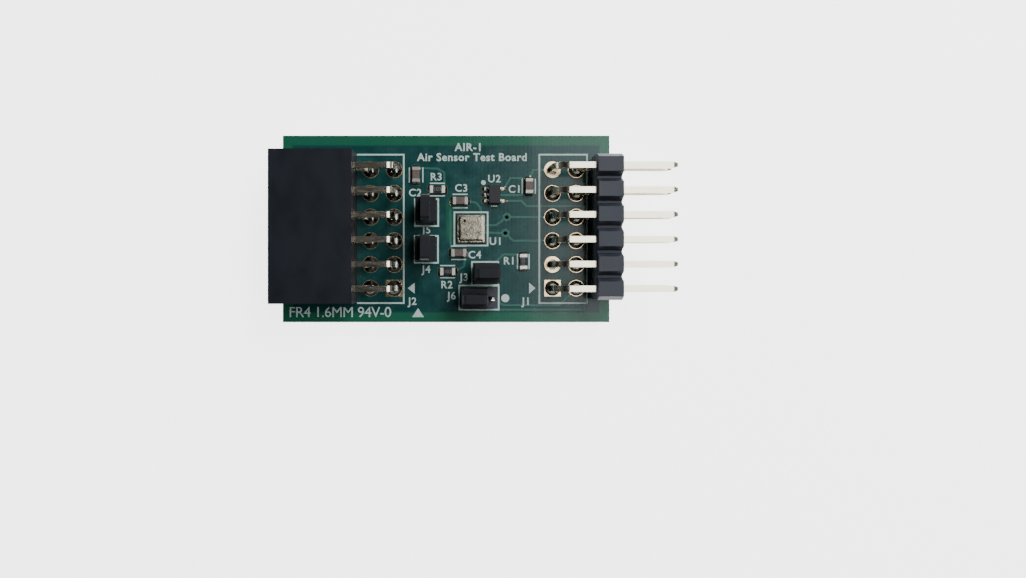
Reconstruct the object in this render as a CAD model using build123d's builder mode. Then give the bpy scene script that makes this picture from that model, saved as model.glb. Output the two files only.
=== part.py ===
from build123d import *
import os

# Twelve-pin plug-in sensor board, millimetres.  +X runs from the socket to the plug pins, +Z is the
# component side, and the origin is below the middle of the whole part, level with the lowest pin tips.

os.makedirs("parts", exist_ok=True)

# ---- Board -----------------------------------------------------------------------------------------
board_length = 35.0
board_width = 20.0
board_thick = 1.6
copper_thick = 0.035
mask_thick = copper_thick
mask_cover = 0.035
legend_thick = 0.05
mask_margin = 0.05
rib_margin = 0.03
tail_below = 1.4

# ---- Twelve-pin connectors -------------------------------------------------------------------------
pitch = 2.54
rows = 6
pin_width = 0.64
tip_length = 0.45
tip_taper = 17.0
pad_diameter = 1.75
drill_diameter = 1.1
plating = 0.035

socket_depth = 8.5
socket_width = 15.74
socket_height = 5.08
socket_overhang = 0.55
socket_gap = 1.46
socket_wall = 1.0
window_width = 0.86
funnel_width = 1.5
funnel_depth = 0.45
chamber_width = 0.76
chamber_height = 1.8
contact_width = 0.62
tine_thick = 0.26
tine_gap = 0.5
tine_inset = 0.1
pinch_depth = 1.2
web_length = 0.8
web_inset = 0.4
tail_thick = 0.45
tail_bend = 0.55

header_height = 5.08
header_overhang = 0.5
header_gap = 1.52
notch_depth = 1.0
cell_flat = 1.5
groove_floor = 0.24
plug_length = 5.75
upper_bend = 1.25
lower_bend = 0.85

# ---- Fine-pitch jumper headers and their shunts ----------------------------------------------------
fine_pitch = 1.27
fine_pin = 0.4
fine_drill = 0.7
fine_pad = 1.05
fine_tip = 0.2
fine_tip_taper = 25.0
base_depth = 2.1
base_height = 1.5
cell_notch = 0.35
fine_pin_above = 2.8
shunt_length = 2 * fine_pitch - 0.04
shunt_depth = 2.1
shunt_height = 3.3
shunt_lift_gap = 0.1
shunt_roof = 0.35
shunt_wall = 0.3
shunt_corner = 0.15
handle_thick = 0.9
handle_height = 3.1
handle_corner = 0.35
clip_thick = 0.12
clip_clear = 0.06

# ---- Small parts -----------------------------------------------------------------------------------
chip_length = 1.6
chip_width = 0.8
cap_height = 0.8
resistor_height = 0.45
terminal_length = 0.35
terminal_thick = 0.03
coat_thick = 0.04
fillet_reach = 0.26
capacitor_fillet = 0.45
resistor_fillet = 0.3
chip_pad = (terminal_length + fillet_reach, chip_width)

sensor_size = 3.0
sensor_substrate = 0.25
sensor_pad = (0.5, 0.5)
sensor_pad_inset = 0.1
sensor_pad_pitch = 0.8
lid_flange = 2.9
flange_corner = 0.15
flange_thick = 0.1
lid_base = 2.62
lid_corner = 0.25
lid_edge = 0.08
lid_height = 0.65
lid_slope = 9.0
lid_wall = 0.1
vent_diameter = 0.28
vent_offset = (-0.72, 0.81)
die_size = (1.0, 1.1)
die_thick = 0.3
die_shift = 0.55
wire_size = 0.03
wire_spacing = 0.3
wire_start = 0.4
wire_peak = (0.52, 0.02)
wire_end = 0.6

ic_body = (1.25, 2.0)
ic_height = 0.9
ic_standoff = 0.1
ic_draft = 7.0
ic_pitch = 0.65
lead_width = 0.22
lead_thick = 0.13
lead_span = 2.1
lead_foot = 0.28
lead_bend = 0.09
ic_pad = (0.6, 0.34)

# ---- Levels and lines worked out from the sizes above ----------------------------------------------
board_bottom = tail_below
board_top = board_bottom + board_thick
overall_length = socket_overhang + board_length + header_overhang + plug_length
board_left = socket_overhang - overall_length / 2
board_middle = board_left + board_length / 2

socket_front = board_left - socket_overhang
socket_back = socket_front + socket_depth
socket_near = socket_back + socket_gap
socket_far = socket_near + pitch
header_front = board_left + board_length + header_overhang
header_back = header_front - pitch
header_near = header_back - header_gap
header_far = header_near - pitch

row_places = [(row - (rows - 1) / 2) * pitch for row in range(rows)]
lower_level = board_top + pitch / 2
upper_level = board_top + 3 * pitch / 2

# The layout between the connectors is drawn about the middle of the free strip of board, for a strip
# of layout_length by layout_width, and spreads with it.
layout_length = 16.95
layout_width = 20.0
strip_middle = (socket_far + header_far) / 2
spread_x = (header_far - socket_far) / layout_length
spread_y = board_width / layout_width


def spot(place):
    return (strip_middle + place[0] * spread_x, place[1] * spread_y)


# Each entry is the place and the turn in degrees about Z.
capacitors = {
    "C1": ((5.93, 4.56), 90),
    "C2": ((-6.14, 5.77), 90),
    "C3": ((-1.42, 2.98), 0),
    "C4": ((-1.58, -2.56), 0),
}
resistors = {
    "R1": ((5.34, -3.50), 90),
    "R2": ((-2.76, -4.58), 0),
    "R3": ((-3.86, 4.21), 0),
}
chips = capacitors | resistors
# Place, turn, number of pins, and how far the shunt sits from the middle of the header.
jumpers = {
    "J3": ((1.25, -4.78), 0, 2, 0.0),
    "J4": ((-5.05, -2.19), 90, 2, 0.0),
    "J5": ((-5.02, 1.75), 90, 2, 0.0),
    "J6": ((0.59, -7.36), 0, 3, -fine_pitch / 2),
}
sensor_place = (-0.26, 0.0)
ic_place = (2.23, 3.65)
via_places = [(3.57, 1.27), (3.41, -0.45)]
via_pad = 0.86
via_drill = 0.4
track_width = 0.18


def turned(place, turn, height):
    """A plane at a layout place, turned about Z, at a height above the board's top."""
    x, y = spot(place)
    across = (1, 0, 0) if turn == 0 else (0, 1, 0)
    return Plane(origin=(x, y, board_top + height), x_dir=across, z_dir=(0, 0, 1))


def finish(builder, name):
    builder.part.label = name
    export_step(builder.part, f"parts/{name}.step")


def pin_offsets(count):
    return [(index - (count - 1) / 2) * fine_pitch for index in range(count)]


def jumper_pins(name):
    """Where the pins of one jumper header stand, in the part's frame."""
    place, turn, count, _ = jumpers[name]
    x, y = spot(place)
    if turn == 0:
        return [(x + offset, y) for offset in pin_offsets(count)]
    return [(x, y + offset) for offset in pin_offsets(count)]


def chip_ends(name):
    """The middles of the two pads of a chip part."""
    place, turn = chips[name]
    x, y = spot(place)
    reach = chip_length / 2 + fillet_reach - chip_pad[0] / 2
    if turn == 0:
        return [(x - reach, y), (x + reach, y)]
    return [(x, y - reach), (x, y + reach)]


columns = [socket_near, socket_far, header_near, header_far]
connector_holes = [(x, y) for x in columns for y in row_places]
square_pads = [(socket_far, row_places[0]), (header_far, row_places[0])]
round_pads = [hole for hole in connector_holes if hole not in square_pads]
fine_holes = [pin for name in jumpers for pin in jumper_pins(name)]
via_holes = [spot(place) for place in via_places]
sensor_x, sensor_y = spot(sensor_place)
ic_x, ic_y = spot(ic_place)
ic_left = [(ic_x - lead_span / 2, ic_y + step * ic_pitch) for step in (-1, 0, 1)]
ic_right = [(ic_x + lead_span / 2, ic_y + step * ic_pitch) for step in (-1, 1)]
chip_pads_along_x = [end for name in chips if chips[name][1] == 0 for end in chip_ends(name)]
chip_pads_along_y = [end for name in chips if chips[name][1] == 90 for end in chip_ends(name)]
sensor_pad_x = sensor_size / 2 - sensor_pad[0] / 2 - sensor_pad_inset
sensor_pads = [
    (sensor_x + side * sensor_pad_x, sensor_y + (step - 1.5) * sensor_pad_pitch)
    for side in (-1, 1)
    for step in range(4)
]


# ---- Tracks ----------------------------------------------------------------------------------------
def tracks(on_top):
    """Runs of copper, each a list of points; ends meet a pad, a via or a lead."""
    far_right = header_far
    far_left = socket_far
    row = {index + 1: row_places[rows - 1 - index] for index in range(rows)}
    via_a, via_b = via_holes
    if not on_top:
        straight = [[(far_left, row[index]), (far_right, row[index])] for index in (1, 2, 5, 6)]
        upper = [via_a, (via_a[0] - via_a[1], 0), (far_left + row[3], 0), (far_left, row[3])]
        lower = [via_b, (far_left - row[4] + via_b[1], via_b[1]), (far_left, row[4])]
        return straight + [upper, lower]
    sensor_edge = sensor_x + sensor_pad_x
    join_three = (header_near + 1.0, row[3] + 1.17)
    join_six = (header_near - 1.82, row[6] - 1.82)
    runs = [
        [ic_right[0], spot((5.12, 3.0)), spot((5.66, 2.44)), join_three, (header_near, row[3])],
        [via_a, (far_right, row[3])],
        [via_a, spot((2.44, 0.4)), (sensor_edge, sensor_pads[6][1])],
        [via_b, spot((4.24, -1.27)), (far_right, row[4])],
        [via_b, (sensor_edge, sensor_pads[5][1])],
        [chip_ends("C3")[1], spot((0.25, 2.82)), spot((0.73, 2.28)), sensor_pads[7]],
        [chip_ends("C2")[1], spot((-3.88, 6.46)), spot((-3.13, 6.03)), chip_ends("R3")[1]],
        [chip_ends("R1")[1], spot((3.19, -2.75)), spot((2.44, -3.5)), jumper_pins("J3")[1]],
        [jumper_pins("J6")[2], spot((3.2, -8.17)), join_six, (header_near, row[6])],
        [jumper_pins("J6")[0], spot((2.8, -8.65)), (header_near + 0.6, -8.65 * spread_y)],
        [ic_right[1], spot((3.94, 5.44)), spot((5.02, 5.44)), chip_ends("C1")[1]],
        [spot((2.45, 3.62)), spot((5.12, 3.62)), chip_ends("C1")[0]],
        [chip_ends("C1")[1], spot((6.41, 6.3)), (far_right, row[1])],
        [spot((-2.5, 2.9)), spot((-2.5, -1.1)), chip_ends("C4")[0]],
        [chip_ends("C3")[0], spot((-2.5, 2.9))],
        [jumper_pins("J5")[1], chip_ends("R3")[0]],
        [chip_ends("R2")[1], spot((-1.0, -4.0)), chip_ends("C4")[1]],
    ]
    return runs


def draw_tracks(on_top, width, mode=Mode.ADD):
    """Adds every track of one side to the open sketch, each length with rounded ends."""
    for run in tracks(on_top):
        for start, end in zip(run[:-1], run[1:]):
            middle = ((start[0] + end[0]) / 2, (start[1] + end[1]) / 2)
            SlotCenterPoint(middle, end, width, mode=mode)


def draw_pads(on_top, grow, mode=Mode.ADD):
    """Adds every pad of one side to the open sketch, each enlarged by grow all round."""
    with Locations(*round_pads):
        Circle(pad_diameter / 2 + grow, mode=mode)
    with Locations(*square_pads):
        Rectangle(pad_diameter + 2 * grow, pad_diameter + 2 * grow, mode=mode)
    with Locations(*fine_holes):
        Circle(fine_pad / 2 + grow, mode=mode)
    if on_top:
        with Locations(*chip_pads_along_x):
            Rectangle(chip_pad[0] + 2 * grow, chip_pad[1] + 2 * grow, mode=mode)
        with Locations(*chip_pads_along_y):
            Rectangle(chip_pad[1] + 2 * grow, chip_pad[0] + 2 * grow, mode=mode)
        with Locations(*sensor_pads):
            Rectangle(sensor_pad[0] + 2 * grow, sensor_pad[1] + 2 * grow, mode=mode)
        with Locations(*ic_left, *ic_right):
            Rectangle(ic_pad[0] + 2 * grow, ic_pad[1] + 2 * grow, mode=mode)


plated_holes = [(connector_holes, drill_diameter), (fine_holes, fine_drill), (via_holes, via_drill)]


def cut_drills(grow):
    """Takes every drilled hole out of the open sketch."""
    for holes, drill in plated_holes:
        with Locations(*holes):
            Circle(drill / 2 + grow, mode=Mode.SUBTRACT)


# ---- Laminate, plating, copper, mask ---------------------------------------------------------------
laminate_bottom = board_bottom + mask_thick
laminate_top = board_top - mask_thick

with BuildPart() as laminate:
    with BuildSketch(Plane.XY.offset(laminate_bottom)):
        with Locations((board_middle, 0)):
            Rectangle(board_length, board_width)
        cut_drills(plating)
    extrude(amount=laminate_top - laminate_bottom)
finish(laminate, "board_laminate")

with BuildPart() as barrels:
    with BuildSketch(Plane.XY.offset(laminate_bottom)):
        for holes, drill in plated_holes:
            with Locations(*holes):
                Circle(drill / 2 + plating)
        cut_drills(0)
    extrude(amount=laminate_top - laminate_bottom)
finish(barrels, "plated_barrels")

for side, base, away in (("top", laminate_top, 1), ("bottom", laminate_bottom, -1)):
    on_top = side == "top"
    with BuildPart() as copper:
        with BuildSketch(Plane.XY.offset(base)):
            draw_tracks(on_top, track_width)
            draw_pads(on_top, 0)
            with Locations(*via_holes):
                Circle(via_pad / 2)
            cut_drills(0)
        extrude(amount=away * copper_thick)
    finish(copper, f"copper_{side}")

    with BuildPart() as mask:
        with BuildSketch(Plane.XY.offset(base)):
            with Locations((board_middle, 0)):
                Rectangle(board_length, board_width)
            draw_pads(on_top, mask_margin, Mode.SUBTRACT)
            draw_tracks(on_top, track_width, Mode.SUBTRACT)
            with Locations(*via_holes):
                Circle(via_pad / 2, mode=Mode.SUBTRACT)
        extrude(amount=away * mask_thick)
        with BuildSketch(Plane.XY.offset(base + away * mask_thick)):
            draw_tracks(on_top, track_width + 2 * rib_margin)
            with Locations(*via_holes):
                Circle(via_pad / 2 + rib_margin)
                # The mask closes the vias on the underside and leaves them open on top.
                if on_top:
                    Circle(via_drill / 2, mode=Mode.SUBTRACT)
            draw_pads(on_top, mask_margin, Mode.SUBTRACT)
        extrude(amount=away * mask_cover)
    finish(mask, f"solder_mask_{side}")

# ---- Legend ----------------------------------------------------------------------------------------
outline_line = 0.17
part_line = 0.13
socket_outline = (socket_back - outline_line, socket_far + 1.01)
header_outline = (header_far - 1.42, header_back - 0.38)
outline_half = 7.95


def frame_outline(left, right, low, high):
    """Adds the printed outline of a rectangle to the open sketch."""
    width = right - left
    depth = high - low
    with Locations(((left + right) / 2, (low + high) / 2)):
        Rectangle(width + outline_line, depth + outline_line)
        Rectangle(width - outline_line, depth - outline_line, mode=Mode.SUBTRACT)


def framed(middle, width, depth):
    """The left, right, low and high sides of a rectangle about a middle."""
    x, y = middle
    return (x - width / 2, x + width / 2, y - depth / 2, y + depth / 2)


def base_outline(name):
    """The size of a jumper header's base along X and along Y."""
    _, turn, count, _ = jumpers[name]
    return (count * fine_pitch, base_depth) if turn == 0 else (base_depth, count * fine_pitch)


def side_lines(name, spacing, length):
    """The two printed lines beside a chip part."""
    place, turn = chips[name]
    x, y = spot(place)
    shifts = (-spacing / 2, spacing / 2)
    for shift in shifts:
        at = (x, y + shift) if turn == 0 else (x + shift, y)
        size = (length, part_line) if turn == 0 else (part_line, length)
        with Locations(at):
            Rectangle(*size)


printed_outlines = [
    (socket_outline[0], socket_outline[1], -outline_half, outline_half),
    (header_outline[0], header_outline[1], -outline_half, outline_half),
]
sensor_frame = 1.78
pin_one_dots = [((1.07, 4.96), 0.25), ((3.41, -7.42), 0.43)]
pin_one_arrows = [
    ((-7.04, -6.35), (-6.29, -5.76), (-6.29, -6.94)),
    ((6.64, -6.35), (5.96, -5.76), (5.96, -6.94)),
    ((-5.93, -8.49), (-6.57, -9.45), (-5.29, -9.45)),
]
ic_line_length = 0.7
ic_line_drop = 1.2
frame_margin = {"J3": (0.28, 0.39), "J4": (0.4, 0.34), "J5": (0.4, 0.34), "J6": (0.42, 0.47)}
base_clear = 0.05
chip_line_spacing = {"C1": 1.4, "C2": 1.44, "C3": 1.44, "C4": 1.44, "R1": 1.24, "R2": 1.3, "R3": 1.34}

for side, base, away in (("top", board_top, 1), ("bottom", board_bottom, -1)):
    on_top = side == "top"
    with BuildPart() as legend:
        # Each closed outline is its own sketch, so that none of them cuts what stands inside it.
        frames = list(printed_outlines)
        if on_top:
            frames.append(framed((sensor_x, sensor_y), 2 * sensor_frame, 2 * sensor_frame))
        for name, (place, _, _, _) in jumpers.items():
            length, depth = base_outline(name)
            margin_x, margin_y = frame_margin[name]
            frames.append(framed(spot(place), length + margin_x, depth + margin_y))
        for left, right, low, high in frames:
            with BuildSketch(Plane.XY.offset(base)):
                frame_outline(left, right, low, high)
            extrude(amount=away * legend_thick)
        # The socket covers the near side of its own outline.
        with BuildSketch(Plane.XY.offset(base)):
            with Locations((socket_back - outline_line, 0)):
                Rectangle(2 * outline_line, board_width)
        extrude(amount=away * legend_thick, mode=Mode.SUBTRACT)
        if on_top:
            with BuildSketch(Plane.XY.offset(base)):
                for name in chips:
                    side_lines(name, chip_line_spacing[name], chip_length)
                for place, radius in pin_one_dots:
                    with Locations(spot(place)):
                        Circle(radius)
                for corners in pin_one_arrows:
                    with BuildLine():
                        Polyline(*[spot(corner) for corner in corners], close=True)
                    make_face()
                with Locations((ic_x, ic_y - ic_line_drop)):
                    Rectangle(ic_line_length, part_line)
            extrude(amount=away * legend_thick)
        with BuildSketch(Plane.XY.offset(base)):
            draw_tracks(on_top, track_width + 2 * rib_margin)
            with Locations(*via_holes):
                Circle(via_pad / 2 + rib_margin)
        extrude(amount=away * mask_cover, mode=Mode.SUBTRACT)
        with BuildSketch(Plane.XY.offset(base)):
            draw_pads(on_top, mask_margin)
            if on_top:
                for name, (place, _, _, _) in jumpers.items():
                    length, depth = base_outline(name)
                    with Locations(spot(place)):
                        Rectangle(length + 2 * base_clear, depth + 2 * base_clear)
        extrude(amount=away * legend_thick, mode=Mode.SUBTRACT)
    finish(legend, f"legend_{side}")

# ---- J2: right-angle socket ------------------------------------------------------------------------
levels = {"lower": (lower_level, socket_near), "upper": (upper_level, socket_far)}
front_plane = Plane(origin=(socket_front, 0, 0), x_dir=(0, 1, 0), z_dir=(1, 0, 0))

with BuildPart() as socket_housing:
    with BuildSketch(front_plane):
        with Locations((0, board_top + socket_height / 2)):
            Rectangle(socket_width, socket_height)
    extrude(amount=socket_depth)
    mouths = [(y, level) for y in row_places for level, _ in levels.values()]
    with BuildSketch(front_plane):
        with Locations(*mouths):
            Rectangle(window_width, window_width)
    extrude(amount=socket_wall, mode=Mode.SUBTRACT)
    for y, level in mouths:
        with BuildSketch(front_plane):
            with Locations((y, level)):
                Rectangle(funnel_width, funnel_width)
        with BuildSketch(front_plane.offset(funnel_depth)):
            with Locations((y, level)):
                Rectangle(window_width, window_width)
        loft(mode=Mode.SUBTRACT)
        with BuildSketch(front_plane.offset(socket_wall)):
            with Locations((y, level)):
                Rectangle(chamber_width, chamber_height)
        extrude(amount=socket_depth - socket_wall, mode=Mode.SUBTRACT)
finish(socket_housing, "J2_housing")


def side_plane(y):
    """A plane in which x is the part's X and y is its height, at a distance along Y."""
    return Plane(origin=(0, y, 0), x_dir=(1, 0, 0), z_dir=(0, -1, 0))


def bent_tail(start, level, column, bend, thick):
    """Adds the side outline of a tail that runs level, bends down and ends below the board."""
    with BuildLine() as centre_line:
        FilletPolyline((start, level), (column, level), (column, 0), radius=bend)
    trace(centre_line.line, line_width=thick)


for row_name, (level, column) in levels.items():
    with BuildPart() as contacts:
        web_back = socket_back - web_inset
        web_front = web_back - web_length
        mouth = socket_front + socket_wall + tine_inset
        pinch = mouth + pinch_depth
        for y in row_places:
            with BuildSketch(side_plane(y)):
                with Locations(((web_front + web_back) / 2, level)):
                    Rectangle(web_length, chamber_height)
                for up in (1, -1):
                    outer = up * (chamber_height / 2)
                    inner = up * (chamber_height / 2 - tine_thick)
                    with BuildLine():
                        Polyline(
                            (web_front, level + outer),
                            (pinch, level + up * (tine_gap / 2 + tine_thick)),
                            (mouth, level + outer - up * tine_inset),
                            (mouth, level + inner - up * tine_inset),
                            (pinch, level + up * tine_gap / 2),
                            (web_front, level + inner),
                            close=True,
                        )
                    make_face()
                bent_tail(web_back, level, column, tail_bend, tail_thick)
            extrude(amount=contact_width / 2, both=True)
    finish(contacts, f"J2_contacts_{row_name}")

# ---- J1: right-angle pin header --------------------------------------------------------------------
pin_levels = {"lower": (lower_level, header_near, lower_bend), "upper": (upper_level, header_far, upper_bend)}
header_plane = Plane(origin=(header_back, 0, 0), x_dir=(0, 1, 0), z_dir=(1, 0, 0))


def row_profile():
    """The notched outline of the insulator, seen along X: flat-topped cells with grooves between."""
    top = board_top + header_height
    low = board_top
    points = []
    for y in row_places:
        points.append((y - pitch / 2 + groove_floor / 2, top - notch_depth))
        points.append((y - cell_flat / 2, top))
        points.append((y + cell_flat / 2, top))
        points.append((y + pitch / 2 - groove_floor / 2, top - notch_depth))
    for y in reversed(row_places):
        points.append((y + pitch / 2 - groove_floor / 2, low + notch_depth))
        points.append((y + cell_flat / 2, low))
        points.append((y - cell_flat / 2, low))
        points.append((y - pitch / 2 + groove_floor / 2, low + notch_depth))
    return points


with BuildPart() as header_housing:
    with BuildSketch(header_plane):
        with BuildLine():
            Polyline(*row_profile(), close=True)
        make_face()
        with Locations(*[(y, level) for y in row_places for level, _, _ in pin_levels.values()]):
            Rectangle(pin_width, pin_width, mode=Mode.SUBTRACT)
    extrude(amount=pitch)
finish(header_housing, "J1_housing")

for row_name, (level, column, bend) in pin_levels.items():
    with BuildPart() as pins:
        for y in row_places:
            with BuildSketch(side_plane(y)):
                bent_tail(header_front + plug_length - tip_length, level, column, bend, pin_width)
            extrude(amount=pin_width / 2, both=True)
            tip_plane = Plane(
                origin=(header_front + plug_length - tip_length, y, level), x_dir=(0, 1, 0), z_dir=(1, 0, 0)
            )
            with BuildSketch(tip_plane):
                Rectangle(pin_width, pin_width)
            extrude(amount=tip_length, taper=tip_taper)
    finish(pins, f"J1_pins_{row_name}")

# ---- Solder joints of the through-hole parts -------------------------------------------------------
solder_fill = 0.75
solder_drop = 0.8
solder_rise = 0.3
solder_rim = 0.05
hollow = 0.38
neck_share = 0.75
on_floor = (Align.CENTER, Align.CENTER, Align.MIN)


def solder_cone(hole, face, rise, pad, lead_size):
    """A hollow-sided cone of solder from a pad's rim to the lead; a negative rise points down."""
    rim = (pad / 2 - solder_rim, face)
    neck = (neck_share * lead_size, face + rise)
    with BuildSketch(Plane(origin=(*hole, 0), x_dir=(1, 0, 0), z_dir=(0, -1, 0))) as profile:
        with BuildLine():
            Line((0, face), rim)
            ThreePointArc(rim, ((rim[0] + neck[0]) / 2, face + hollow * rise), neck)
            Polyline(neck, (0, face + rise), (0, face))
        make_face()
    revolve(profile.sketch, axis=Axis((*hole, 0), (0, 0, 1)))


def solder_joints(holes, drill, pad, lead_size, part_filled=()):
    """Solder in each barrel and down the lead below, and up the lead above where it fills the barrel."""
    low_face = laminate_bottom - copper_thick
    high_face = laminate_top + copper_thick
    for hole in holes:
        part_full = hole in part_filled
        top = laminate_bottom + solder_fill * board_thick if part_full else high_face
        with Locations((*hole, low_face)):
            Cylinder(drill / 2, top - low_face, align=on_floor)
        solder_cone(hole, low_face, -solder_drop, pad, lead_size)
        if not part_full:
            solder_cone(hole, high_face, solder_rise, pad, lead_size)
    lead_length = high_face + 2 * solder_rise
    with Locations(*[(x, y, 0) for x, y in holes]):
        Box(lead_size, lead_size, lead_length, align=on_floor, mode=Mode.SUBTRACT)


header_holes = [(x, y) for x in (header_near, header_far) for y in row_places]
socket_holes = [(x, y) for x in (socket_near, socket_far) for y in row_places]
poorly_wetted = [(header_far, row_places[1]), (header_far, row_places[5])]

with BuildPart() as header_solder:
    solder_joints(header_holes, drill_diameter, pad_diameter, pin_width, poorly_wetted)
finish(header_solder, "J1_solder")

with BuildPart() as socket_solder:
    solder_joints(socket_holes, drill_diameter, pad_diameter, contact_width)
finish(socket_solder, "J2_solder")

with BuildPart() as jumper_solder:
    solder_joints(fine_holes, fine_drill, fine_pad, fine_pin, fine_holes)
finish(jumper_solder, "jumper_solder")

# ---- J3 to J6: fine-pitch headers and pull-off shunts ----------------------------------------------
base_seat = mask_cover
base_top = base_seat + base_height
shunt_bottom = base_top + shunt_lift_gap


def cell_corners(count):
    """The corners of the pin cells along both long sides of a header base."""
    ends = [(index - count / 2) * fine_pitch for index in range(count + 1)]
    return [(end, side * base_depth / 2) for end in ends for side in (-1, 1)]


clip_gap = fine_pin + 2 * clip_clear
clip_length = shunt_length - 2 * shunt_wall
clip_height = shunt_height - shunt_roof
for name, (place, turn, count, shift) in jumpers.items():
    with BuildPart() as base:
        with BuildSketch(turned(place, turn, base_seat)):
            Rectangle(count * fine_pitch, base_depth)
            with Locations(*cell_corners(count)):
                Rectangle(cell_notch, cell_notch, rotation=45, mode=Mode.SUBTRACT)
            with Locations(*[(offset, 0) for offset in pin_offsets(count)]):
                Rectangle(fine_pin, fine_pin, mode=Mode.SUBTRACT)
        extrude(amount=base_height)
    finish(base, f"{name}_base")

    pin_tip = base_top + fine_pin_above
    with BuildPart() as fine_pins:
        for offset in pin_offsets(count):
            with BuildSketch(turned(place, turn, fine_tip - board_top)):
                with Locations((offset, 0)):
                    Rectangle(fine_pin, fine_pin)
            extrude(amount=pin_tip + board_top - 2 * fine_tip)
            with BuildSketch(turned(place, turn, pin_tip - fine_tip)):
                with Locations((offset, 0)):
                    Rectangle(fine_pin, fine_pin)
            extrude(amount=fine_tip, taper=fine_tip_taper)
    finish(fine_pins, f"{name}_pins")

    with BuildPart() as shunt:
        with BuildSketch(turned(place, turn, shunt_bottom)):
            with Locations((shift, 0)):
                RectangleRounded(shunt_length, shunt_depth, shunt_corner)
        extrude(amount=shunt_height)
        with BuildSketch(turned(place, turn, shunt_bottom)):
            with Locations((shift, 0)):
                Rectangle(clip_length, clip_gap + 2 * clip_thick)
        extrude(amount=clip_height, mode=Mode.SUBTRACT)
        handle_base = turned(place, turn, shunt_bottom + shunt_height).origin
        along = Vector(1, 0, 0) if turn == 0 else Vector(0, 1, 0)
        across = Vector(0, -1, 0) if turn == 0 else Vector(1, 0, 0)
        with BuildSketch(Plane(origin=handle_base + along * shift, x_dir=along, z_dir=across)):
            with Locations((0, handle_height / 2)):
                RectangleRounded(shunt_length, handle_height, handle_corner)
            with Locations((0, handle_height / 4)):
                Rectangle(shunt_length, handle_height / 2)
        extrude(amount=handle_thick / 2, both=True)
    finish(shunt, f"{name}_shunt_housing")

    with BuildPart() as clip:
        with BuildSketch(turned(place, turn, shunt_bottom + clip_thick)):
            with Locations((shift, 0)):
                Rectangle(clip_length, clip_gap + 2 * clip_thick)
                Rectangle(clip_length, clip_gap, mode=Mode.SUBTRACT)
        extrude(amount=clip_height - 2 * clip_thick)
        with BuildSketch(turned(place, turn, shunt_bottom + clip_height - clip_thick)):
            with Locations((shift, 0)):
                Rectangle(clip_length, clip_gap + 2 * clip_thick)
        extrude(amount=clip_thick)
    finish(clip, f"{name}_shunt_clip")

# ---- U1: metal-lidded air sensor -------------------------------------------------------------------
chip_seat = laminate_top + copper_thick - board_top
with BuildPart() as substrate:
    with BuildSketch(turned(sensor_place, 0, chip_seat)):
        Rectangle(sensor_size, sensor_size)
    extrude(amount=sensor_substrate)
finish(substrate, "U1_substrate")

lid_seat = chip_seat + sensor_substrate
with BuildPart() as lid:
    with BuildSketch(turned(sensor_place, 0, lid_seat)):
        RectangleRounded(lid_flange, lid_flange, flange_corner)
    extrude(amount=flange_thick)
    with BuildSketch(turned(sensor_place, 0, lid_seat + flange_thick)):
        RectangleRounded(lid_base, lid_base, lid_corner)
    extrude(amount=lid_height, taper=lid_slope)
    top_edges = lid.edges().group_by(Axis.Z)[-1]
    fillet(top_edges, radius=lid_edge)
    with BuildSketch(turned(sensor_place, 0, lid_seat)):
        Rectangle(lid_base - 2 * lid_wall, lid_base - 2 * lid_wall)
    extrude(amount=lid_height + flange_thick - lid_wall, taper=lid_slope, mode=Mode.SUBTRACT)
    with BuildSketch(turned(sensor_place, 0, lid_seat)):
        with Locations(vent_offset):
            Circle(vent_diameter / 2)
    extrude(amount=2 * lid_height, mode=Mode.SUBTRACT)
finish(lid, "U1_lid")

with BuildPart() as dies:
    with BuildSketch(turned(sensor_place, 0, lid_seat)):
        with Locations((-die_shift, 0), (die_shift, 0)):
            Rectangle(*die_size)
    extrude(amount=die_thick)
finish(dies, "U1_dies")

wire_foot = board_top + lid_seat
wire_top = wire_foot + die_thick
with BuildPart() as wires:
    for y_shift in (-wire_spacing, 0.0, wire_spacing):
        with BuildSketch(side_plane(sensor_y + y_shift)):
            for way in (-1, 1):
                with BuildLine() as loop_line:
                    ThreePointArc(
                        (sensor_x + way * (die_shift + wire_start), wire_top),
                        (sensor_x + way * (die_shift + wire_peak[0]), wire_top + wire_peak[1]),
                        (sensor_x + way * (die_shift + wire_end), wire_foot),
                    )
                trace(loop_line.line, line_width=wire_size)
        extrude(amount=wire_size / 2, both=True)
finish(wires, "U1_bond_wires")

# ---- U2: five-lead IC ------------------------------------------------------------------------------
with BuildPart() as ic:
    half_height = ic_height / 2
    for way in (1, -1):
        seat = turned(ic_place, 0, chip_seat + ic_standoff + half_height)
        with BuildSketch(Plane(origin=seat.origin, x_dir=(1, 0, 0), z_dir=(0, 0, way))):
            Rectangle(*ic_body)
        extrude(amount=half_height, taper=ic_draft)
finish(ic, "U2_body")

with BuildPart() as leads:
    foot_level = board_top + chip_seat + lead_thick / 2
    exit_level = board_top + chip_seat + ic_standoff + ic_height / 2
    for way, ends in ((-1, ic_left), (1, ic_right)):
        for x, y in ends:
            with BuildSketch(side_plane(y)):
                with BuildLine() as lead_line:
                    FilletPolyline(
                        (ic_x + way * ic_body[0] / 2, exit_level),
                        (x - way * lead_foot, exit_level),
                        (x - way * lead_foot, foot_level),
                        (x, foot_level),
                        radius=lead_bend,
                    )
                trace(lead_line.line, line_width=lead_thick)
            extrude(amount=lead_width / 2, both=True)
finish(leads, "U2_leads")

# ---- Chip capacitors and resistors -----------------------------------------------------------------
inner_length = chip_length - 2 * terminal_thick
inner_width = chip_width - 2 * terminal_thick
bare_length = chip_length - 2 * terminal_length


def chip_block(place, turn, bottom, height, length, width, mode=Mode.ADD):
    with BuildSketch(turned(place, turn, bottom)) as block:
        Rectangle(length, width)
    extrude(block.sketch, amount=height, mode=mode)


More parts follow.
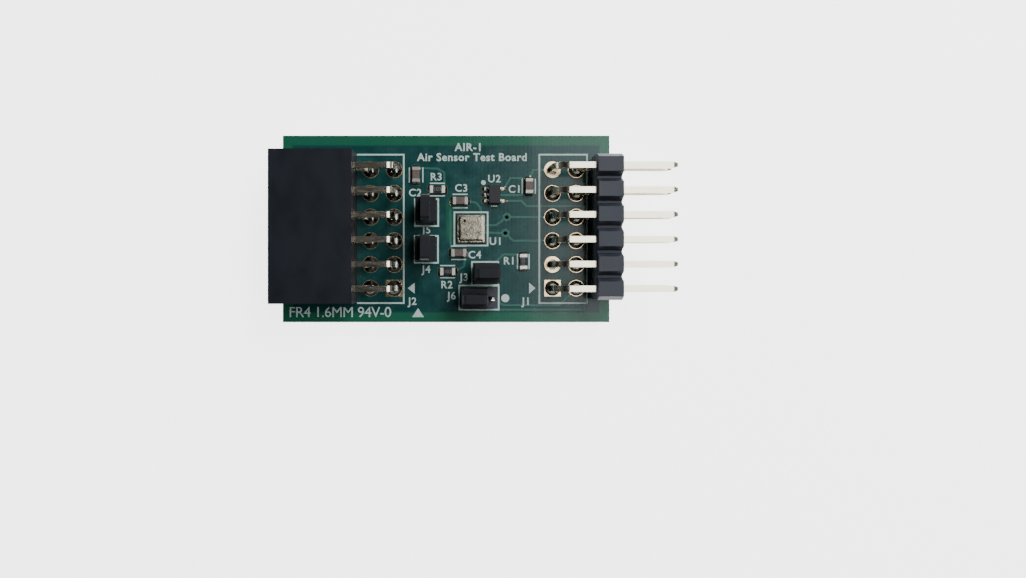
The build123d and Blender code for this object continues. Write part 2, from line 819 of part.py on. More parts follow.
for name in chips:
    is_cap = name in capacitors
    place, turn = chips[name]
    height = cap_height if is_cap else resistor_height
    inner_bottom = chip_seat + terminal_thick
    inner_height = height - 2 * terminal_thick
    with BuildPart() as chip:
        chip_block(place, turn, inner_bottom, inner_height, inner_length, inner_width)
    finish(chip, f"{name}_ceramic")

    with BuildPart() as terminals:
        chip_block(place, turn, chip_seat, height, chip_length, chip_width)
        chip_block(place, turn, chip_seat, height, bare_length, chip_width, Mode.SUBTRACT)
        chip_block(place, turn, inner_bottom, inner_height, inner_length, inner_width, Mode.SUBTRACT)
    finish(terminals, f"{name}_terminals")

    if not is_cap:
        with BuildPart() as coat:
            coat_bottom = inner_bottom + inner_height
            chip_block(place, turn, coat_bottom, coat_thick, bare_length, inner_width)
        finish(coat, f"{name}_coat")

with BuildPart() as chip_solder:
    for name in chips:
        place, turn = chips[name]
        rise = capacitor_fillet if name in capacitors else resistor_fillet
        seat = turned(place, turn, chip_seat)
        along = seat.x_dir
        across = seat.y_dir
        with BuildSketch(Plane(origin=seat.origin, x_dir=along, z_dir=-across)):
            for way in (-1, 1):
                end = way * chip_length / 2
                with BuildLine():
                    Polyline((end, 0), (end, rise), (end + way * fillet_reach, 0), close=True)
                make_face()
        extrude(amount=chip_width / 2, both=True)
    pad_level = board_top + chip_seat
    for way, ends in ((-1, ic_left), (1, ic_right)):
        for x, y in ends:
            with BuildSketch(side_plane(y)):
                with BuildLine():
                    Polyline(
                        (x, pad_level),
                        (x, pad_level + lead_thick),
                        (x + way * ic_pad[0] / 2, pad_level),
                        close=True,
                    )
                make_face()
            extrude(amount=ic_pad[1] / 2, both=True)
finish(chip_solder, "chip_solder")
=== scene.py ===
import math

import bmesh
import bpy
from bpy.props import FloatProperty, FloatVectorProperty, PointerProperty
from mathutils import Matrix, Vector


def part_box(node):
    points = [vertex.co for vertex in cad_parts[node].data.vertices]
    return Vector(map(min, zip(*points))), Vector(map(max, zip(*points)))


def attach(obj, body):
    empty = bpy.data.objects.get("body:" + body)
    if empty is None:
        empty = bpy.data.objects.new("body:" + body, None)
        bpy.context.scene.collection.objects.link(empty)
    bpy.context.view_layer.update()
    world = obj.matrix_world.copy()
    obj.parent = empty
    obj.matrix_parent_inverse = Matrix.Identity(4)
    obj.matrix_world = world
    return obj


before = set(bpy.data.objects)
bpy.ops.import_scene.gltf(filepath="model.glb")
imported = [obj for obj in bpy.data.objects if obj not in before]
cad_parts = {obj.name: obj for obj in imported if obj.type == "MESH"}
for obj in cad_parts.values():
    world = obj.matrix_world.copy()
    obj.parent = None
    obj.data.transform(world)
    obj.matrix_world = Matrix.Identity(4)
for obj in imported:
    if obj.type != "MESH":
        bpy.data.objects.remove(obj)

bl_info = {
    "name": "Plug-in sensor board",
    "version": (1, 0, 0),
    "blender": (4, 5, 0),
    "location": "3D View > Sidebar > Sensor Board",
    "description": "Finishes, lettering, solder and stage for a twelve-pin plug-in sensor board",
    "category": "Object",
}

MM = 0.001
ROOT_BODY = "board"
JUMPERS = ("J3", "J4", "J5", "J6")
CAPACITORS = ("C1", "C2", "C3", "C4")
RESISTORS = ("R1", "R2", "R3")


def as_vectors(box):
    return Vector(box[0]), Vector(box[1])


def box_centre(node):
    low, high = as_vectors(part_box(node))
    return (low + high) / 2


BOARD_LOW, BOARD_HIGH = as_vectors(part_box("board_laminate"))
MASK_LOW = as_vectors(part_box("solder_mask_bottom"))[0]
MASK_HIGH = as_vectors(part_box("solder_mask_top"))[1]
RIB_HEIGHT = (MASK_HIGH.z - BOARD_HIGH.z) / 2
BOARD_TOP = MASK_HIGH.z - RIB_HEIGHT
BOARD_MIDDLE = (BOARD_LOW + BOARD_HIGH) / 2
STRIP_MIDDLE = (box_centre("J1_solder").x + box_centre("J2_solder").x) / 2
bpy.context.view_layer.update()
WINDOW_SIDE = (0.75, 0.60, -0.28)
BORDER_WANDER = 0.05 * MM
POUR_GAP = (-2.5 * MM, 0.9 * MM)
PLY_PITCH = 0.19 * MM


# ---- Sizes and colours that a user would change ----------------------------------------------------
def colour(name, description, value):
    return FloatVectorProperty(
        name=name, description=description, default=value, size=3, min=0.0, max=1.0, subtype="COLOR"
    )


def length(name, description, value):
    return FloatProperty(
        name=name, description=description, default=value, min=0.0, unit="LENGTH", precision=6
    )


def share(name, description, value):
    return FloatProperty(
        name=name, description=description, default=value, min=0.0, max=1.0, subtype="FACTOR"
    )


class BoardSettings(bpy.types.PropertyGroup):
    mask: colour("Mask over copper", "Solder mask where copper lies under it", (0.0065, 0.050, 0.049))
    border: colour("Mask over bare board", "Solder mask where light comes through", (0.0105, 0.108, 0.062))
    rib: colour("Mask over tracks", "Solder mask on the raised tracks", (0.030, 0.120, 0.098))
    laminate: colour("Laminate", "Glass-fibre laminate at the cut edge", (0.10, 0.135, 0.055))
    ink: colour("Legend", "Screen-printed ink", (0.54, 0.68, 0.63))
    gold: colour("Pads", "Plated copper pads", (0.78, 0.60, 0.36))
    border_width: length("Bare border", "Width of the border without copper", 1.05 * MM)
    gap_width: length("Pour gap", "Width of the strip without copper beside the sensor", 0.75 * MM)
    gap_length: length("Pour gap length", "Length of the strip without copper beside the sensor", 4.2 * MM)
    weave_pitch: length("Weave pitch", "Distance between two yarns of the laminate", 0.42 * MM)
    roughness: share("Mask roughness", "Roughness of the solder mask", 0.24)


class PlasticSettings(bpy.types.PropertyGroup):
    socket: colour("Socket", "Moulded socket block", (0.0085, 0.0105, 0.0160))
    header: colour("Header", "Moulded header blocks", (0.030, 0.036, 0.050))
    shunt: colour("Shunt", "Moulded jumper shunts", (0.0105, 0.0125, 0.0165))
    package: colour("IC package", "Mould compound of the IC", (0.022, 0.021, 0.026))
    grain: length("Grain", "Size of the moulding grain", 0.06 * MM)
    edge: length("Edge radius", "Radius of the moulded edges", 0.05 * MM)


class MetalSettings(bpy.types.PropertyGroup):
    pins: colour("Pins", "Plated square wire", (0.66, 0.62, 0.49))
    tails: colour("Socket tails", "Stamped contact strip", (0.62, 0.57, 0.47))
    solder: colour("Solder", "Solder of the small parts", (0.34, 0.33, 0.30))
    # Painted shade: the connectors' solder is darker than the small parts' solder, standing for the dark
    # reflections and shade in their plated holes.
    shade_darkened_solder: colour("Shade-darkened solder", "Solder of the connectors, darkened as painted shade", (0.17, 0.165, 0.145))
    terminals: colour("Terminals", "Plated ends of the capacitors", (0.33, 0.32, 0.30))
    bright_ends: colour("Bright ends", "Plated ends of the resistors and the leads", (0.60, 0.59, 0.56))
    lid: colour("Lid", "Drawn sensor lid", (0.50, 0.455, 0.36))
    brass: colour("Spring strip", "Spring contacts of the shunts", (0.80, 0.62, 0.34))
    scratch: length("Scratch pitch", "Distance between two drawing marks", 0.05 * MM)


class LetteringSettings(bpy.types.PropertyGroup):
    letter: length("Designator size", "Size of the part designators", 1.12 * MM)
    title: length("Title size", "Size of the two title lines", 1.16 * MM)
    rating: length("Rating size", "Size of the board rating line", 1.58 * MM)
    weight: length("Line weight", "Extra thickness on each side of a letter's strokes", 0.022 * MM)
    code: length("Value code size", "Size of the code on a resistor", 0.55 * MM)
    code_depth: length("Code depth", "Thickness of the ink of a value code", 0.01 * MM)
    code_ink: colour("Code ink", "Ink of the value codes", (0.16, 0.17, 0.16))
    ink_depth: length("Ink depth", "Thickness of the printed ink", 0.05 * MM)


class StageSettings(bpy.types.PropertyGroup):
    floor: colour("Floor", "Plain floor", (0.90, 0.90, 0.90))
    camera_height: length("Camera height", "Height of the camera above the board", 90 * MM)
    camera_x: length("Camera place", "Camera's distance from the board's socket edge", 17.41 * MM)
    camera_y: length("Camera side", "Camera's distance from the board's front edge", 5.1 * MM)
    lens: FloatProperty(name="Lens", description="Focal length", default=29.47, min=1.0, unit="CAMERA")


# ---- Procedural materials --------------------------------------------------------------------------
class Surface:
    """One material: a Principled shader and the nodes that feed it, in the object's own metres."""

    def __init__(self, name, **values):
        self.material = bpy.data.materials.new(name)
        self.material.use_nodes = True
        self.tree = self.material.node_tree
        self.shader = self.tree.nodes["Principled BSDF"]
        for socket, value in values.items():
            self.shader.inputs[socket.replace("_", " ")].default_value = value
        self.place = self.node("ShaderNodeTexCoord").outputs["Object"]

    def node(self, kind, **settings):
        made = self.tree.nodes.new(kind)
        for key, value in settings.items():
            setattr(made, key, value)
        return made

    def feed(self, socket, source):
        """Sets a socket to a number or a colour, or links another node's output to it."""
        if isinstance(source, bpy.types.NodeSocket):
            self.tree.links.new(source, socket)
        else:
            socket.default_value = source

    def math(self, operation, first, second=0.0):
        made = self.node("ShaderNodeMath", operation=operation)
        self.feed(made.inputs[0], first)
        self.feed(made.inputs[1], second)
        return made.outputs[0]

    def away_from(self, axis, middle):
        """Distance along an axis from a middle."""
        return self.math("ABSOLUTE", self.math("SUBTRACT", axis, middle))

    def axes(self):
        made = self.node("ShaderNodeSeparateXYZ")
        self.feed(made.inputs[0], self.place)
        return made.outputs

    def ramp(self, source, start, end, low=0.0, high=1.0):
        """Maps a number from start..end to low..high, held at both ends."""
        made = self.node("ShaderNodeMapRange", clamp=True)
        for socket, value in zip(made.inputs, (source, start, end, low, high)):
            self.feed(socket, value)
        return made.outputs[0]

    def noise(self, size, detail=3.0, roughness=0.55, stretch=(1, 1, 1)):
        """Noise whose features are about size metres across, drawn out along an axis by stretch."""
        mapping = self.node("ShaderNodeMapping")
        self.feed(mapping.inputs["Vector"], self.place)
        mapping.inputs["Scale"].default_value = [1 / (size * pull) for pull in stretch]
        made = self.node("ShaderNodeTexNoise")
        self.feed(made.inputs["Vector"], mapping.outputs[0])
        made.inputs["Scale"].default_value = 1.0
        made.inputs["Detail"].default_value = detail
        made.inputs["Roughness"].default_value = roughness
        return made.outputs["Fac"]

    def mix(self, factor, first, second):
        made = self.node("ShaderNodeMix", data_type="RGBA")
        colours = [socket for socket in made.inputs if socket.type == "RGBA"]
        self.feed(made.inputs["Factor"], factor)
        for socket, source in zip(colours, (first, second)):
            self.feed(socket, source if isinstance(source, bpy.types.NodeSocket) else (*source, 1.0))
        return [socket for socket in made.outputs if socket.type == "RGBA"][0]

    def bump(self, height, depth, strength=1.0, edge=0.0):
        """Bump of depth metres; an edge radius rounds the shading of sharp corners first."""
        made = self.node("ShaderNodeBump")
        made.inputs["Strength"].default_value = strength
        made.inputs["Distance"].default_value = depth
        self.feed(made.inputs["Height"], height)
        if edge:
            rounded = self.node("ShaderNodeBevel", samples=4)
            rounded.inputs["Radius"].default_value = edge
            self.feed(made.inputs["Normal"], rounded.outputs[0])
        self.feed(self.shader.inputs["Normal"], made.outputs[0])

    def colour(self, source):
        self.feed(self.shader.inputs["Base Color"], source)

    def roughen(self, source, low, high):
        self.feed(self.shader.inputs["Roughness"], self.ramp(source, 0.3, 0.7, low, high))


def darker(base, share_kept):
    return tuple(channel * share_kept for channel in base)


def solder_mask(settings):
    """Green mask: dark over copper, brighter along the bare border, paler on the raised tracks."""
    surface = Surface("solder_mask", Coat_Weight=0.08, Coat_Roughness=0.05, IOR=1.45, Specular_IOR_Level=0.24)
    x, y, z = surface.axes()
    mottle = surface.noise(1.6 * MM, 4.0)
    fleck = surface.noise(0.12 * MM, 2.0)
    cloud = surface.ramp(mottle, 0.35, 0.65)
    base = surface.mix(cloud, darker(settings.mask, 0.86), darker(settings.mask, 1.14))
    half = (BOARD_HIGH - BOARD_LOW) / 2
    from_end = surface.math("SUBTRACT", half.x, surface.away_from(x, BOARD_MIDDLE.x))
    from_side = surface.math("SUBTRACT", half.y, surface.away_from(y, BOARD_MIDDLE.y))
    from_edge = surface.math("MINIMUM", from_end, from_side)
    wander = surface.math("MULTIPLY", surface.ramp(mottle, 0.3, 0.7, -1.0, 1.0), BORDER_WANDER)
    from_edge = surface.math("ADD", from_edge, wander)
    bare = surface.ramp(from_edge, settings.border_width * 0.88, settings.border_width * 1.12, 1.0, 0.0)
    gap_x, gap_y = POUR_GAP
    from_gap = surface.away_from(x, STRIP_MIDDLE + gap_x)
    across = surface.ramp(from_gap, settings.gap_width * 0.2, settings.gap_width * 0.8, 1.0, 0.0)
    from_gap_middle = surface.away_from(y, gap_y)
    along = surface.ramp(from_gap_middle, settings.gap_length * 0.4, settings.gap_length * 0.6, 1.0, 0.0)
    bare = surface.math("MAXIMUM", bare, surface.math("MULTIPLY", across, along))
    green = surface.mix(bare, base, settings.border)
    level = surface.away_from(z, BOARD_MIDDLE.z)
    flat = BOARD_TOP - BOARD_MIDDLE.z
    raised = surface.ramp(level, flat + RIB_HEIGHT * 0.3, flat + RIB_HEIGHT * 0.9)
    surface.colour(surface.mix(raised, green, settings.rib))
    yarns = surface.math("ADD", weave_band(surface, x, settings), weave_band(surface, y, settings))
    height = surface.math("ADD", surface.math("MULTIPLY", yarns, 0.28), surface.math("MULTIPLY", fleck, 0.35))
    surface.bump(height, 0.004 * MM, 0.55, edge=0.02 * MM)
    surface.roughen(mottle, settings.roughness - 0.05, settings.roughness + 0.06)
    return surface.material


def weave_band(surface, axis, settings):
    turns = surface.math("MULTIPLY", axis, 2 * math.pi / settings.weave_pitch)
    return surface.math("SINE", turns)


def laminate(settings):
    surface = Surface("glass_laminate", Roughness=0.62)
    _, _, z = surface.axes()
    plies = surface.math("SINE", surface.math("MULTIPLY", z, 2 * math.pi / PLY_PITCH))
    fibre = surface.noise(0.08 * MM, 4.0, stretch=(6, 6, 1))
    tone = surface.mix(surface.ramp(plies, -0.6, 0.8), darker(settings.laminate, 0.6), settings.laminate)
    surface.colour(surface.mix(surface.ramp(fibre, 0.42, 0.7), tone, (0.17, 0.20, 0.10)))
    surface.bump(surface.math("ADD", plies, fibre), 0.01 * MM, 0.7)
    surface.roughen(fibre, 0.5, 0.8)
    return surface.material


def legend_ink(settings):
    surface = Surface("legend_ink", Roughness=0.55)
    grain = surface.noise(0.07 * MM, 4.0)
    wear = surface.noise(0.4 * MM, 3.0)
    tone = surface.mix(surface.ramp(grain, 0.35, 0.65), darker(settings.ink, 0.82), settings.ink)
    surface.colour(surface.mix(surface.ramp(wear, 0.58, 0.75), tone, darker(settings.ink, 0.62)))
    surface.bump(grain, 0.006 * MM, 0.6)
    surface.roughen(grain, 0.45, 0.7)
    return surface.material


def metal(
    name, base, smooth, rough, pull=(1, 1, 1), scratch=0.05 * MM, depth=0.002 * MM, edge=0.0, tarnish=0.75
):
    """Bright metal with drawing marks along the axis that pull stretches, and a little tarnish."""
    surface = Surface(name, Metallic=1.0)
    marks = surface.noise(scratch, 4.0, 0.6, pull)
    cloud = surface.noise(0.7 * MM, 3.0)
    tone = surface.mix(surface.ramp(marks, 0.35, 0.65), darker(base, 0.9), base)
    surface.colour(surface.mix(surface.ramp(cloud, 0.52, 0.72), tone, darker(base, tarnish)))
    surface.bump(marks, depth, 0.5, edge)
    surface.roughen(marks, smooth, rough)
    return surface.material


def moulded(name, base, settings, smooth, rough, shine=0.3, depth=0.006 * MM):
    """Moulded plastic: a fine grain, slow shade changes of the flow, and softened edges."""
    surface = Surface(name, IOR=1.5, Specular_IOR_Level=shine)
    grain = surface.noise(settings.grain, 3.0)
    flow = surface.noise(2.2 * MM, 2.0, 0.5, (1, 1.8, 1))
    tone = surface.mix(surface.ramp(flow, 0.35, 0.65), darker(base, 0.82), darker(base, 1.15))
    surface.colour(surface.mix(surface.ramp(grain, 0.62, 0.8), tone, darker(base, 1.9)))
    surface.bump(grain, depth, 0.6, settings.edge)
    surface.roughen(flow, smooth, rough)
    return surface.material


def fired_ceramic(name, base, speck, smooth=0.35, rough=0.55):
    surface = Surface(name, Specular_IOR_Level=0.22)
    grain = surface.noise(0.05 * MM, 4.0)
    cloud = surface.noise(0.35 * MM, 2.0)
    tone = surface.mix(surface.ramp(cloud, 0.35, 0.65), darker(base, 0.85), darker(base, 1.1))
    surface.colour(surface.mix(surface.ramp(grain, 0.55, 0.75), tone, speck))
    surface.bump(grain, 0.004 * MM, 0.5, 0.04 * MM)
    surface.roughen(grain, smooth, rough)
    return surface.material


def dress(node, material):
    """Puts a material into every slot of a CAD node."""
    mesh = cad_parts[node].data
    if not mesh.materials:
        mesh.materials.append(material)
    for index in range(len(mesh.materials)):
        mesh.materials[index] = material


def new_piece(name, mesh, material, body=ROOT_BODY):
    piece = bpy.data.objects.new(name, mesh)
    bpy.context.scene.collection.objects.link(piece)
    mesh.materials.clear()
    mesh.materials.append(material)
    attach(piece, body)
    return piece


# ---- Operators -------------------------------------------------------------------------------------
class SENSORBOARD_OT_board(bpy.types.Operator):
    """Finish the laminate, the solder mask, the plated copper and the printed legend"""

    bl_idname = "sensorboard.board"
    bl_label = "Board"

    def execute(self, context):
        settings = context.scene.sensor_board
        mask = solder_mask(settings)
        ink = legend_ink(settings)
        gold = metal("pad_plating", settings.gold, 0.14, 0.3, scratch=0.09 * MM)
        dress("board_laminate", laminate(settings))
        for side in ("top", "bottom"):
            dress(f"solder_mask_{side}", mask)
            dress(f"copper_{side}", gold)
            dress(f"legend_{side}", ink)
        dress("plated_barrels", gold)
        return {"FINISHED"}


def lettering_mesh(text, size, weight, depth, centre, align="CENTER", spacing=1.0):
    """The mesh of one line of letters, lying flat with its middle at centre."""
    curve = bpy.data.curves.new("letters", "FONT")
    curve.body = text
    curve.size = size
    curve.extrude = depth / 2
    curve.offset = weight
    curve.align_x = align
    curve.align_y = "CENTER"
    curve.space_character = spacing
    curve.resolution_u = 3
    holder = bpy.data.objects.new("letters", curve)
    bpy.context.scene.collection.objects.link(holder)
    bpy.context.view_layer.update()
    mesh = bpy.data.meshes.new_from_object(holder.evaluated_get(bpy.context.evaluated_depsgraph_get()))
    mesh.transform(Matrix.Translation(centre))
    bpy.data.objects.remove(holder)
    bpy.data.curves.remove(curve)
    return mesh


def join_meshes(name, meshes):
    """Joins meshes into one and removes the loose ones."""
    joined = bmesh.new()
    for mesh in meshes:
        joined.from_mesh(mesh)
        bpy.data.meshes.remove(mesh)
    result = bpy.data.meshes.new(name)
    joined.to_mesh(result)
    joined.free()
    return result


# Each designator's place from the middle of its own part, in millimetres.
DESIGNATORS = {
    "C1": ("C1_ceramic", (-1.50, -0.34)),
    "C2": ("C2_ceramic", (-0.10, -1.93)),
    "C3": ("C3_ceramic", (0.12, 1.36)),
    "C4": ("C4_ceramic", (1.72, -0.25)),
    "R1": ("R1_ceramic", (-1.50, 0.05)),
    "R2": ("R2_ceramic", (-0.10, -1.44)),
    "R3": ("R3_ceramic", (-0.13, 1.34)),
    "U1": ("U1_lid", (2.65, -1.36)),
    "U2": ("U2_body", (0.0, 1.69)),
    "J1": ("J1_solder", (-4.08, -7.79)),
    "J2": ("J2_solder", (3.22, -7.79)),
    "J3": ("J3_base", (-2.24, -0.44)),
    "J4": ("J4_base", (0.0, -2.17)),
    "J5": ("J5_base", (0.0, -1.88)),
    "J6": ("J6_base", (-2.92, 0.16)),
}
TITLE_LINES = (("AIR-1", (-0.51, 8.71)), ("Air Sensor Test Board", (-0.13, 7.64)))
RATING_LINE = "FR4 1.6MM 94V-0"
VALUE_CODE = "103"


class SENSORBOARD_OT_lettering(bpy.types.Operator):
    """Print the part designators, a generic title and a generic board rating"""

    bl_idname = "sensorboard.lettering"
    bl_label = "Lettering"

    def execute(self, context):
        settings = context.scene.sensor_lettering
        depth = settings.ink_depth
        level = BOARD_TOP + depth / 2
        meshes = []
        for text, (node, (x, y)) in DESIGNATORS.items():
            middle = box_centre(node)
            place = Vector((middle.x + x * MM, middle.y + y * MM, level))
            meshes.append(lettering_mesh(text, settings.letter, settings.weight, depth, place, spacing=1.1))
        for text, (x, y) in TITLE_LINES:
            place = Vector((STRIP_MIDDLE + x * MM, y * MM, level))
            weight = settings.weight * 1.5
            meshes.append(lettering_mesh(text, settings.title, weight, depth, place, spacing=1.1))
        start = Vector((BOARD_LOW.x + 0.62 * MM, BOARD_LOW.y + 1.03 * MM, level))
        weight = settings.weight * 0.2
        meshes.append(lettering_mesh(RATING_LINE, settings.rating, weight, depth, start, "LEFT", 0.95))
        mesh = join_meshes("legend_lettering", meshes)
        new_piece("legend_lettering", mesh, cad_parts["legend_top"].data.materials[0])
        return {"FINISHED"}


class SENSORBOARD_OT_connectors(bpy.types.Operator):
    """Finish the socket, the pin header and their contacts"""

    bl_idname = "sensorboard.connectors"
    bl_label = "Connectors"

    def execute(self, context):
        plastics = context.scene.sensor_plastics
        metals = context.scene.sensor_metals
        dress("J2_housing", moulded("socket_moulding", plastics.socket, plastics, 0.38, 0.5, 0.2))
        header = moulded("header_moulding", plastics.header, plastics, 0.5, 0.62, 0.38)
        dress("J1_housing", header)
        for name in JUMPERS:
            dress(f"{name}_base", header)
        wire = metal(
            "pin_plating", metals.pins, 0.13, 0.26, (24, 1, 1), metals.scratch, edge=0.03 * MM, tarnish=0.9
        )
        strip = metal("tail_plating", metals.tails, 0.125, 0.255, (20, 1, 1), metals.scratch, edge=0.05 * MM)
        for row in ("upper", "lower"):
            dress(f"J1_pins_{row}", wire)
            dress(f"J2_contacts_{row}", strip)
        return {"FINISHED"}


class SENSORBOARD_OT_jumpers(bpy.types.Operator):
    """Finish the jumper pins, the pull-off shunts and their springs"""

    bl_idname = "sensorboard.jumpers"
    bl_label = "Jumpers"

    def execute(self, context):
        plastics = context.scene.sensor_plastics
        metals = context.scene.sensor_metals
        shell = moulded("shunt_moulding", plastics.shunt, plastics, 0.42, 0.58, 0.17)
        wire = metal("fine_pin_plating", metals.pins, 0.14, 0.28, (1, 1, 20), metals.scratch, edge=0.03 * MM)
        spring = metal("spring_plating", metals.brass, 0.2, 0.38)
        for name in JUMPERS:
            dress(f"{name}_pins", wire)
            dress(f"{name}_shunt_housing", shell)
            dress(f"{name}_shunt_clip", spring)
        return {"FINISHED"}


class SENSORBOARD_OT_sensor(bpy.types.Operator):
    """Finish the air sensor's lid, substrate and dies"""

    bl_idname = "sensorboard.sensor"
    bl_label = "Air Sensor"

    def execute(self, context):
        metals = context.scene.sensor_metals
        lid = metal("lid_metal", metals.lid, 0.14, 0.28, (1, 2, 1), 0.2 * MM, 0.008 * MM, 0.05 * MM, 0.55)
        dress("U1_lid", lid)
        dress("U1_substrate", fired_ceramic("sensor_substrate", (0.05, 0.09, 0.05), (0.10, 0.14, 0.08)))
        dress("U1_dies", metal("polished_silicon", (0.20, 0.19, 0.25), 0.08, 0.16, scratch=0.2 * MM))
        dress("U1_bond_wires", metal("bond_wire", (0.95, 0.74, 0.36), 0.2, 0.3))
        return {"FINISHED"}


class SENSORBOARD_OT_chips(bpy.types.Operator):
    """Finish the IC, the capacitors and the resistors, and print the resistors' value code"""

    bl_idname = "sensorboard.chips"
    bl_label = "IC and Chip Parts"

    def execute(self, context):
        plastics = context.scene.sensor_plastics
        metals = context.scene.sensor_metals
        grain = {"scratch": 0.06 * MM, "edge": 0.06 * MM}
        dull_ends = metal("terminal_plating", metals.terminals, 0.3, 0.5, **grain)
        bright_ends = metal("bright_plating", metals.bright_ends, 0.3, 0.45, **grain)
        body = fired_ceramic("capacitor_ceramic", (0.115, 0.085, 0.072), (0.20, 0.16, 0.14))
        alumina = fired_ceramic("alumina", (0.72, 0.70, 0.66), (0.80, 0.78, 0.75), 0.5, 0.7)
        coat = fired_ceramic("resistor_coat", (0.012, 0.013, 0.014), (0.032, 0.032, 0.033), 0.3, 0.45)
        dress("U2_body", moulded("package_moulding", plastics.package, plastics, 0.5, 0.68))
        dress("U2_leads", bright_ends)
        for name in CAPACITORS:
            dress(f"{name}_ceramic", body)
            dress(f"{name}_terminals", dull_ends)
        for name in RESISTORS:
            dress(f"{name}_ceramic", alumina)
            dress(f"{name}_coat", coat)
            dress(f"{name}_terminals", bright_ends)
        self.print_codes(context.scene.sensor_lettering)
        return {"FINISHED"}

    def print_codes(self, settings):
        """Prints a three-figure value code on every resistor, along its length."""
        meshes = []
        for name in RESISTORS:
            low, high = as_vectors(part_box(f"{name}_coat"))
            middle = (low + high) / 2
            mesh = lettering_mesh(VALUE_CODE, settings.code, 0.0, settings.code_depth, Vector())
            if high.y - low.y > high.x - low.x:
                mesh.transform(Matrix.Rotation(math.pi / 2, 4, "Z"))
            mesh.transform(Matrix.Translation((middle.x, middle.y, high.z + settings.code_depth / 2)))
            meshes.append(mesh)
        ink = Surface("code_ink", Roughness=0.5)
        ink.colour(ink.mix(ink.noise(0.05 * MM), darker(settings.code_ink, 0.7), settings.code_ink))
        new_piece("value_codes", join_meshes("value_codes", meshes), ink.material)


class SENSORBOARD_OT_solder(bpy.types.Operator):
    """Finish the solder joints"""

    bl_idname = "sensorboard.solder"
    bl_label = "Solder"

    def execute(self, context):
        metals = context.scene.sensor_metals
        ripple = {"scratch": 0.16 * MM, "depth": 0.008 * MM, "edge": 0.05 * MM}
        solder = metal("solder", metals.solder, 0.1, 0.26, **ripple)
        dress("chip_solder", solder)
        # Painted shade: the connector and jumper joints get a darker solder that stands for the dark
        # reflections and shade in their holes.
        shade_darkened_solder = metal("solder_with_painted_shade", metals.shade_darkened_solder, 0.1, 0.24, **ripple)
        for node in ("J1_solder", "J2_solder", "jumper_solder"):
            dress(node, shade_darkened_solder)
        return {"FINISHED"}


def area_light(name, place, width, depth, power):
    """A flat light that faces straight down."""
    light = bpy.data.lights.new(name, "AREA")
    light.shape = "RECTANGLE"
    light.size = width
    light.size_y = depth
    light.energy = power
    holder = bpy.data.objects.new(name, light)
    holder.location = place
    bpy.context.scene.collection.objects.link(holder)


def studio_world():
    """A dim room, darkest overhead and brighter towards the window's side."""
    world = bpy.data.worlds.new("studio")
    world.use_nodes = True
    tree = world.node_tree

    def ramp(source, start, end, low, high):
        made = tree.nodes.new("ShaderNodeMapRange")
        tree.links.new(source, made.inputs["Value"])
        for socket, value in zip(list(made.inputs)[1:5], (start, end, low, high)):
            socket.default_value = value
        return made.outputs[0]

    direction = tree.nodes.new("ShaderNodeTexCoord").outputs["Generated"]
    split = tree.nodes.new("ShaderNodeSeparateXYZ")
    tree.links.new(direction, split.inputs[0])
    toward = tree.nodes.new("ShaderNodeVectorMath")
    toward.operation = "DOT_PRODUCT"
    tree.links.new(direction, toward.inputs[0])
    toward.inputs[1].default_value = WINDOW_SIDE
    total = tree.nodes.new("ShaderNodeMath")
    total.operation = "ADD"
    tree.links.new(ramp(split.outputs["Z"], 0.15, 0.85, 0.24, 0.01), total.inputs[0])
    tree.links.new(ramp(toward.outputs["Value"], 0.0, 0.9, 0.0, 0.22), total.inputs[1])
    background = tree.nodes["Background"]
    background.inputs["Color"].default_value = (0.86, 0.93, 1.0, 1.0)
    tree.links.new(total.outputs[0], background.inputs["Strength"])
    return world


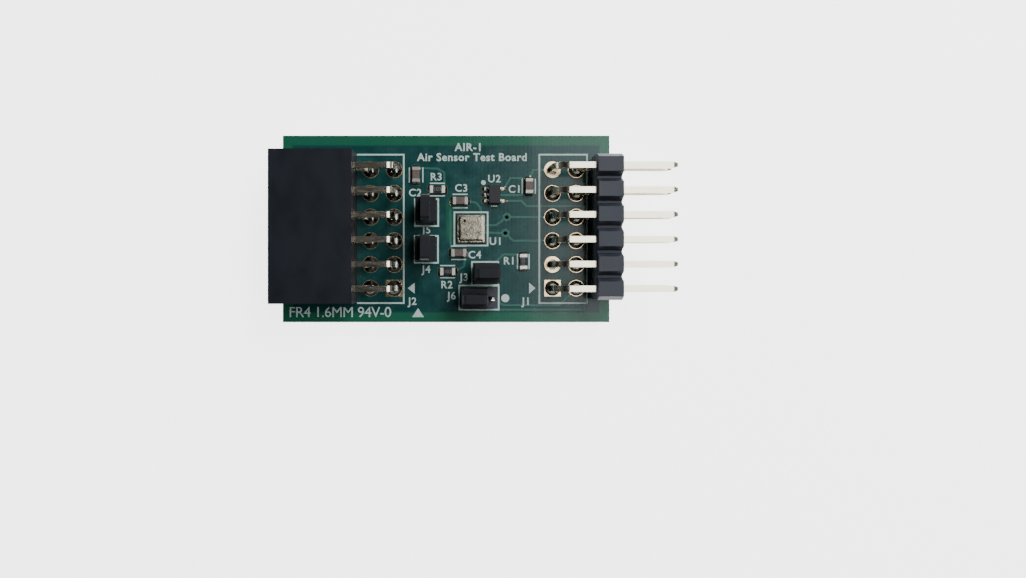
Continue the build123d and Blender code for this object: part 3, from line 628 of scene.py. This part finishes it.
class SENSORBOARD_OT_stage(bpy.types.Operator):
    """Set the floor, the soft lights and the camera"""

    bl_idname = "sensorboard.stage"
    bl_label = "Stage"

    def execute(self, context):
        settings = context.scene.sensor_stage
        mesh = bpy.data.meshes.new("floor")
        half = 3.0
        corners = [(-half, -half, 0), (half, -half, 0), (half, half, 0), (-half, half, 0)]
        mesh.from_pydata(corners, [], [(0, 1, 2, 3)])
        floor = bpy.data.objects.new("floor", mesh)
        context.scene.collection.objects.link(floor)
        glow = {"Emission_Color": (1.0, 1.0, 1.0, 1.0), "Emission_Strength": 3.4}
        surface = Surface("floor_paper", Roughness=0.8, **glow)
        grain = surface.noise(0.5 * MM, 2.0)
        surface.colour(surface.mix(grain, darker(settings.floor, 0.985), settings.floor))
        mesh.materials.append(surface.material)

        context.scene.world = studio_world()
        area_light("window", (0.247, 0.26, 0.50), 0.38, 0.68, 4.4)
        area_light("lamp", (0.22, 0.285, 0.50), 0.10, 0.10, 0.9)

        camera = bpy.data.cameras.new("camera")
        camera.lens = settings.lens
        camera.sensor_width = 36.0
        camera.shift_x = 0.066
        camera.shift_y = -0.014
        camera.clip_start = 0.005
        holder = bpy.data.objects.new("camera", camera)
        holder.location = (
            BOARD_LOW.x + settings.camera_x,
            BOARD_LOW.y + settings.camera_y,
            BOARD_TOP + settings.camera_height,
        )
        context.scene.collection.objects.link(holder)
        context.scene.camera = holder
        return {"FINISHED"}


OPERATORS = (
    SENSORBOARD_OT_board,
    SENSORBOARD_OT_lettering,
    SENSORBOARD_OT_connectors,
    SENSORBOARD_OT_jumpers,
    SENSORBOARD_OT_sensor,
    SENSORBOARD_OT_chips,
    SENSORBOARD_OT_solder,
    SENSORBOARD_OT_stage,
)
SETTINGS = {
    "sensor_board": BoardSettings,
    "sensor_plastics": PlasticSettings,
    "sensor_metals": MetalSettings,
    "sensor_lettering": LetteringSettings,
    "sensor_stage": StageSettings,
}


class SENSORBOARD_PT_panel(bpy.types.Panel):
    bl_idname = "SENSORBOARD_PT_panel"
    bl_label = "Sensor Board"
    bl_space_type = "VIEW_3D"
    bl_region_type = "UI"
    bl_category = "Sensor Board"

    def draw(self, context):
        for name in SETTINGS:
            box = self.layout.box()
            group = getattr(context.scene, name)
            for key in group.bl_rna.properties.keys():
                if key not in ("rna_type", "name"):
                    box.prop(group, key)
        for operator in OPERATORS:
            self.layout.operator(operator.bl_idname)


def register():
    for group in SETTINGS.values():
        bpy.utils.register_class(group)
    for operator in OPERATORS:
        bpy.utils.register_class(operator)
    bpy.utils.register_class(SENSORBOARD_PT_panel)
    for name, group in SETTINGS.items():
        setattr(bpy.types.Scene, name, PointerProperty(type=group))


def unregister():
    for name in SETTINGS:
        delattr(bpy.types.Scene, name)
    bpy.utils.unregister_class(SENSORBOARD_PT_panel)
    for operator in reversed(OPERATORS):
        bpy.utils.unregister_class(operator)
    for group in reversed(SETTINGS.values()):
        bpy.utils.unregister_class(group)


def main():
    register()
    for operator in OPERATORS:
        family, action = operator.bl_idname.split(".")
        getattr(getattr(bpy.ops, family), action)()


if __name__ == "__main__":
    main()
